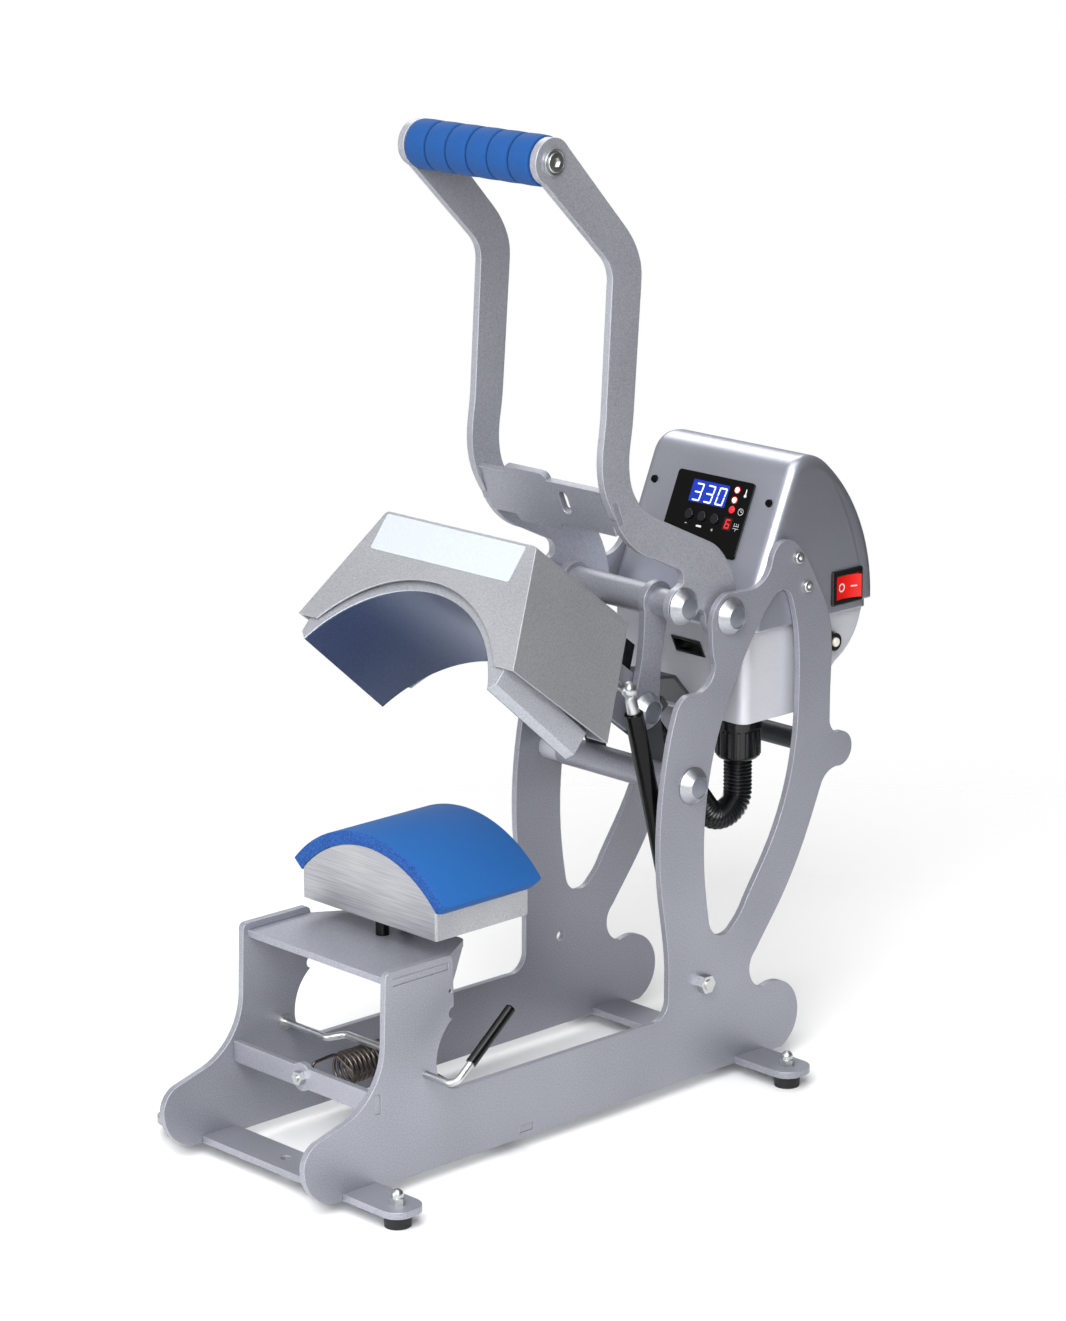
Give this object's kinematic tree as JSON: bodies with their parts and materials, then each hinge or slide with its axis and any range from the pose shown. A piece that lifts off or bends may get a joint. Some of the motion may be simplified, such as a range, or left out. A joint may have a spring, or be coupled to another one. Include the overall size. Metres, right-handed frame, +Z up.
{
  "type": "cap heat press",
  "caption": "Clamshell heat press for caps with a curved lower platen and pad, arched heat platen in a tilting head, toggle linkage, long handle with foam grip, gas strut and control box.",
  "frame": {"origin": "centre of the bounding box at the bottom of the rubber feet", "axes": "+Z up, +X to the right seen from the front, the head and handle face -Y"},
  "size_m": [0.272, 0.5817, 0.7364],
  "materials": {
    "silver_coat": "fine textured grey-silver powder coat",
    "dark_coat": "dark charcoal powder coat",
    "brushed_block": "brushed",
    "zinc": "bright zinc plate",
    "black_steel": "black oxide",
    "polished_caps": "machined",
    "blue_silicone": "matt closed-cell silicone",
    "blue_foam": "matt foam",
    "black_rubber": "matt",
    "coated_platen": "dark non-stick coat",
    "shroud_coat": "light silver coat",
    "housing_coat": "light silver-grey coat",
    "black_plastic": "matt",
    "panel_film": "satin film",
    "blue_window": "gloss",
    "red_plastic": "gloss",
    "pale_label": "satin film",
    "grey_plastic": "matt"
  },
  "bodies": {
    "base": {"side_plate_left": "silver_coat", "side_plate_right": "silver_coat", "table_plate": "silver_coat", "platen_posts": "black_steel", "foot_bars": "silver_coat", "rubber_feet": "black_rubber", "acorn_nuts": "zinc", "mid_tie_plate": "silver_coat", "spring_crossbar": "silver_coat", "spring_hook_bolt": "zinc", "hold_down_spring": "black_steel", "rear_tie_bar": "dark_coat", "lower_platen": "brushed_block", "platen_pad": "blue_silicone", "arm_shaft": "zinc", "pivot_caps": "polished_caps", "handle_pivot_pins": "zinc", "plate_screws": "zinc", "upper_housing": "housing_coat", "lower_housing": "housing_coat", "control_panel": "panel_film", "display_window": "blue_window", "panel_lights": "red_plastic", "face_screws": "black_steel", "rocker_bezel": "black_plastic", "breaker_body": "black_plastic", "port_insert": "black_plastic", "power_inlet": "black_plastic", "cable_gland": "black_plastic", "conduit": "black_plastic", "strut_stud": "zinc"},
    "handle": {"handle_arms": "silver_coat", "handle_cross_plate": "silver_coat", "grip_tube": "zinc", "foam_grip": "blue_foam", "grip_bolts": "zinc", "toggle_pin": "polished_caps", "toggle_tubes": "dark_coat"},
    "links": {"toggle_links": "silver_coat", "link_caps": "polished_caps"},
    "head": {"head_arm": "dark_coat", "head_pins": "zinc", "head_brackets": "silver_coat", "head_shroud": "shroud_coat", "shroud_screws": "zinc", "label_plate": "pale_label", "heat_platen": "coated_platen", "terminal_cover": "black_plastic", "conduit_holder": "dark_coat", "ball_stud": "zinc"},
    "strut_cylinder": {"gas_cylinder": "black_steel", "strut_socket": "zinc"},
    "strut_rod": {"gas_rod": "zinc"},
    "lever": {"hold_down_lever": "zinc", "lever_grip": "black_rubber"},
    "rocker": {"rocker_button": "red_plastic"},
    "left_button": {"button_left": "grey_plastic"},
    "middle_button": {"button_middle": "grey_plastic"},
    "right_button": {"button_right": "grey_plastic"},
    "breaker_push": {"breaker_button": "zinc"}
  },
  "joints": [
    {"name": "handle_swing", "type": "hinge", "parent": "base", "child": "handle", "pos_m": [0, 0.1323, 0.3645], "axis": [1, 0, 0], "range_deg": [0, 56.7], "stiffness_Nm_per_rad": 16, "springref_deg": -51.57},
    {"name": "head_tilt", "type": "hinge", "parent": "base", "child": "head", "pos_m": [0, 0.0929, 0.2417], "axis": [1, 0, 0], "range_deg": [-0.5, 41.9], "deforming": ["conduit"]},
    {"name": "link_swing", "type": "hinge", "parent": "handle", "child": "links", "pos_m": [0, 0.09022, 0.37769], "axis": [1, 0, 0], "range_deg": [-87.65, 0.5]},
    {"name": "strut_cylinder_swing", "type": "hinge", "parent": "head", "child": "strut_cylinder", "pos_m": [0.062, 0.04415, 0.32171], "axis": [1, 0, 0], "range_deg": [-27.54, 0.5]},
    {"name": "strut_rod_swing", "type": "hinge", "parent": "base", "child": "strut_rod", "pos_m": [0.062, 0.1056, 0.084], "axis": [1, 0, 0], "range_deg": [-0.5, 14.86]},
    {"name": "lever_turn", "type": "hinge", "parent": "base", "child": "lever", "pos_m": [0, -0.1757, 0.084], "axis": [1, 0, 0], "range_deg": [0, 45], "stiffness_Nm_per_rad": 0.6, "springref_deg": -28.65},
    {"name": "rocker_tilt", "type": "hinge", "parent": "base", "child": "rocker", "pos_m": [0.0716, 0.2653, 0.3635], "axis": [0, 0, 1], "range_deg": [0, 16]},
    {"name": "left_button_push", "type": "slide", "parent": "base", "child": "left_button", "axis": [0, 0.9171, -0.3987], "range_m": [0, 0.0012], "stiffness_N_per_m": 300, "springref_m": -0.001},
    {"name": "middle_button_push", "type": "slide", "parent": "base", "child": "middle_button", "axis": [0, 0.9171, -0.3987], "range_m": [0, 0.0012], "stiffness_N_per_m": 300, "springref_m": -0.001},
    {"name": "right_button_push", "type": "slide", "parent": "base", "child": "right_button", "axis": [0, 0.9171, -0.3987], "range_m": [0, 0.0012], "stiffness_N_per_m": 300, "springref_m": -0.001},
    {"name": "breaker_reset", "type": "slide", "parent": "base", "child": "breaker_push", "axis": [-1, 0, 0], "range_m": [0, 0.002], "stiffness_N_per_m": 400, "springref_m": -0.001}
  ],
  "couplings": [
    {"joint": "head_tilt", "follows": "handle_swing", "ratio": 0.73016},
    {"joint": "link_swing", "follows": "handle_swing", "ratio": -1.5371},
    {"joint": "strut_cylinder_swing", "follows": "handle_swing", "ratio": -0.47696},
    {"joint": "strut_rod_swing", "follows": "handle_swing", "ratio": 0.2532}
  ]
}
